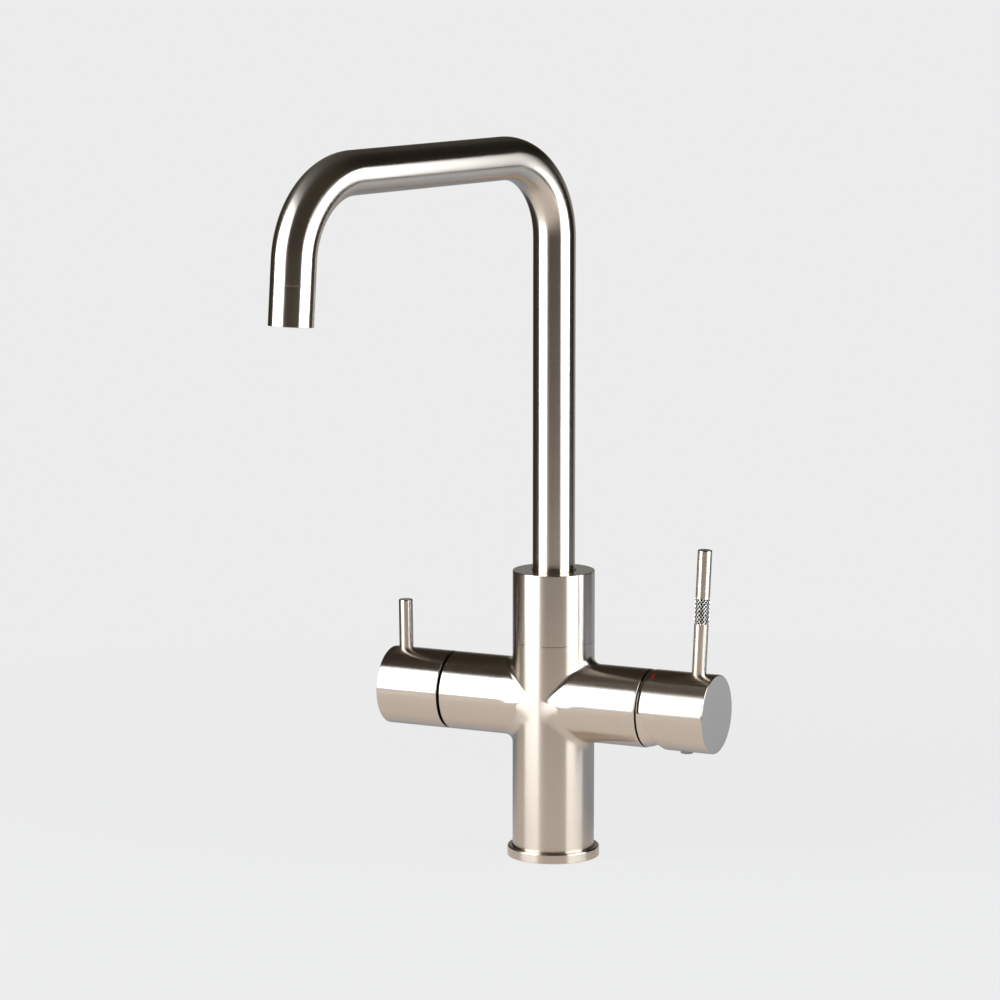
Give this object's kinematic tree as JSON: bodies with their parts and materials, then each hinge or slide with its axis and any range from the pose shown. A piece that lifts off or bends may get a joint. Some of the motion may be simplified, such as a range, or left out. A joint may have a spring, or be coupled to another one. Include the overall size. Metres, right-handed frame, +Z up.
{
  "type": "boiling water tap",
  "caption": "Tall kitchen tap with a swivelling arched spout, a mixer knob with a long lever on the right and a push and turn boiling water knob with a short lever on the left.",
  "frame": {"origin": "centre of the foot on the worktop, at the mouth of the fixing stud's hole", "axes": "+Z up along the column; +X along the cross bar to the mixer knob; the front of the tap faces -Y"},
  "size_m": [0.2002, 0.2495, 0.4065],
  "materials": {
    "satin_nickel": "satin brushed nickel plating, fine circular and lengthwise brushing",
    "brass": "machined brass",
    "steel": "stainless steel",
    "rubber": "black seal rubber",
    "bearing_plastic": "low friction white plastic",
    "cartridge_plastic": "dark moulded plastic",
    "ceramic": "lapped white ceramic",
    "aerator_plastic": "grey moulded plastic",
    "plug_grey": "grey moulded plastic",
    "mark_red": "red enamel",
    "mark_blue": "blue enamel"
  },
  "bodies": {
    "body": {"base_flange": "satin_nickel", "base_gasket": "rubber", "base_insert": "brass", "insert_seal": "rubber", "tap_body": "satin_nickel", "hot_pipe": "steel", "cold_pipe": "steel", "boiling_pipe": "steel", "spout_collar": "satin_nickel", "slip_washer": "bearing_plastic", "slip_ring": "bearing_plastic", "swivel_bush": "bearing_plastic", "centre_seal": "rubber", "cartridge_base": "cartridge_plastic", "cartridge_seals": "rubber", "fixed_disc": "ceramic", "cartridge_housing": "cartridge_plastic", "cartridge_nut": "brass", "dome_cover": "satin_nickel", "valve_seal": "rubber", "valve_fixed_disc": "ceramic", "valve_body": "brass"},
    "spout": {"spout_foot": "brass", "foot_seals": "rubber", "spout_tube": "satin_nickel", "boiling_tube": "steel", "end_sleeve": "satin_nickel", "aerator_body": "aerator_plastic", "jet_plate": "aerator_plastic", "aerator_mesh": "steel", "boiling_nozzle": "aerator_plastic", "aerator_seal": "rubber"},
    "mixer_turret": {"cartridge_turret": "cartridge_plastic", "pivot_pin": "steel"},
    "mixer_disc": {"moving_disc": "ceramic", "disc_carrier": "cartridge_plastic"},
    "mixer_handle": {"cartridge_stem": "brass", "mixer_knob": "satin_nickel", "mixer_lever": "satin_nickel", "mixer_grub_screw": "steel", "grub_plug": "plug_grey", "hot_mark": "mark_red", "cold_mark": "mark_blue"},
    "boiling_spindle": {"valve_spindle": "brass", "valve_moving_disc": "ceramic", "spindle_seal": "rubber", "spindle_clip": "steel", "insert_screw": "steel", "push_spring": "steel"},
    "boiling_handle": {"boiling_knob": "satin_nickel", "knob_insert": "cartridge_plastic", "boiling_lever": "satin_nickel", "boiling_grub_screw": "steel"}
  },
  "joints": [
    {"name": "spout_swivel", "type": "hinge", "parent": "body", "child": "spout", "pos_m": [0, 0, 0.13], "axis": [0, 0, 1], "continuous": true},
    {"name": "mixer_turn", "type": "hinge", "parent": "body", "child": "mixer_turret", "pos_m": [0.056, 0, 0.089], "axis": [1, 0, 0], "range_deg": [-45, 45]},
    {"name": "mixer_tilt", "type": "hinge", "parent": "mixer_turret", "child": "mixer_handle", "pos_m": [0.056, 0, 0.089], "axis": [0, 1, 0], "range_deg": [0, 25.5]},
    {"name": "disc_slide", "type": "slide", "parent": "mixer_turret", "child": "mixer_disc", "axis": [0, 0, 1], "range_m": [0, 0.004]},
    {"name": "boiling_turn", "type": "hinge", "parent": "body", "child": "boiling_spindle", "pos_m": [0, 0, 0.089], "axis": [1, 0, 0], "range_deg": [0, 90]},
    {"name": "boiling_push", "type": "slide", "parent": "boiling_spindle", "child": "boiling_handle", "axis": [1, 0, 0], "range_m": [0, 0.0014], "stiffness_N_per_m": 1500, "springref_m": -0.004, "deforming": ["push_spring"]}
  ],
  "couplings": [
    {"joint": "disc_slide", "follows": "mixer_tilt", "m_per_rad": 0.0088}
  ]
}
